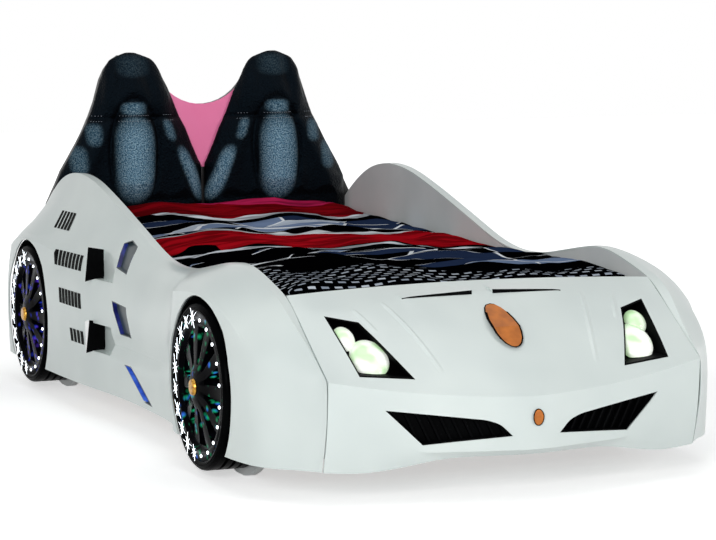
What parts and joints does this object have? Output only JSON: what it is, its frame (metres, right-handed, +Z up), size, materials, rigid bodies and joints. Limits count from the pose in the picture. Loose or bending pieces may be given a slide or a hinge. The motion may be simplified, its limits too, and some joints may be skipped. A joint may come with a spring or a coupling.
{
  "type": "children's car bed",
  "caption": "Children's bed in the form of a low sports car, with lit wheels and lamps, a padded twin headboard, a mattress and a padded spread.",
  "frame": {"origin": "on the floor, under the middle of the overall box", "axes": "+Y towards the headboard, -Y towards the nose, +Z up, +X towards the side that the picture shows inside, on its right"},
  "size_m": [1.2346, 2.3361, 0.948],
  "materials": {
    "shell_white": "glossy moulded plastic",
    "board_white": "white laminated board",
    "board_pink": "pink laminated board",
    "wood_raw": "planed softwood and plywood",
    "plastic_black": "matte black plastic",
    "wheel_black": "glossy black plastic",
    "wheel_dark": "glossy dark plastic",
    "lamp_white": "clear lit plastic",
    "strip_blue": "lit blue plastic",
    "leather_black": "glossy black artificial leather",
    "mattress_white": "woven cover",
    "spread_print": "printed satin",
    "bolt_steel": "zinc plated",
    "badge_copper": "polished"
  },
  "bodies": {
    "bed": {"arch_liner_front_left": "plastic_black", "arch_liner_front_right": "plastic_black", "arch_liner_rear_left": "plastic_black", "arch_liner_rear_right": "plastic_black", "centre_beam": "wood_raw", "centre_legs": "wood_raw", "corner_blocks": "wood_raw", "foot_board": "board_white", "frame_bolts": "bolt_steel", "head_board": "board_pink", "headboard_pad_left": "leather_black", "headboard_pad_right": "leather_black", "headlight_bezel_left": "plastic_black", "headlight_bezel_right": "plastic_black", "headlight_lamps_left": "lamp_white", "headlight_lamps_right": "lamp_white", "hood_slot_inserts": "plastic_black", "hood_supports": "wood_raw", "hub_caps": "badge_copper", "intake_grille_left": "plastic_black", "intake_grille_right": "plastic_black", "leg_disc_front_left": "board_white", "leg_disc_front_right": "board_white", "leg_disc_rear_left": "board_white", "leg_disc_rear_right": "board_white", "light_control": "plastic_black", "nose_badges": "badge_copper", "nose_shell": "shell_white", "rear_panel": "shell_white", "side_board_left": "board_white", "side_board_right": "board_white", "side_light_strips_left": "strip_blue", "side_light_strips_right": "strip_blue", "side_panel_left": "shell_white", "side_panel_right": "shell_white", "side_slot_trays_left": "plastic_black", "side_slot_trays_right": "plastic_black", "side_vent_grilles_left": "plastic_black", "side_vent_grilles_right": "plastic_black", "sill_supports": "wood_raw", "slat_ledge_left": "wood_raw", "slat_ledge_right": "wood_raw", "slats": "wood_raw", "tyre_front_left": "wheel_black", "tyre_front_right": "wheel_black", "tyre_rear_left": "wheel_black", "tyre_rear_right": "wheel_black", "wheel_lamps_front_left": "lamp_white", "wheel_lamps_front_right": "lamp_white", "wheel_lamps_rear_left": "lamp_white", "wheel_lamps_rear_right": "lamp_white", "wheel_rim_front_left": "wheel_dark", "wheel_rim_front_right": "wheel_dark", "wheel_rim_rear_left": "wheel_dark", "wheel_rim_rear_right": "wheel_dark"},
    "bedding": {"mattress": "mattress_white", "bedspread": "spread_print"},
    "switch_key": {"rocker_switch": "plastic_black"}
  },
  "joints": [
    {"name": "mattress_lift", "type": "slide", "parent": "bed", "child": "bedding", "axis": [0, 0, 1], "range_m": [0, 0.5]},
    {"name": "switch_tilt", "type": "hinge", "parent": "bed", "child": "switch_key", "pos_m": [0, 1.162, 0.3], "axis": [1, 0, 0], "range_deg": [-9, 9]}
  ]
}
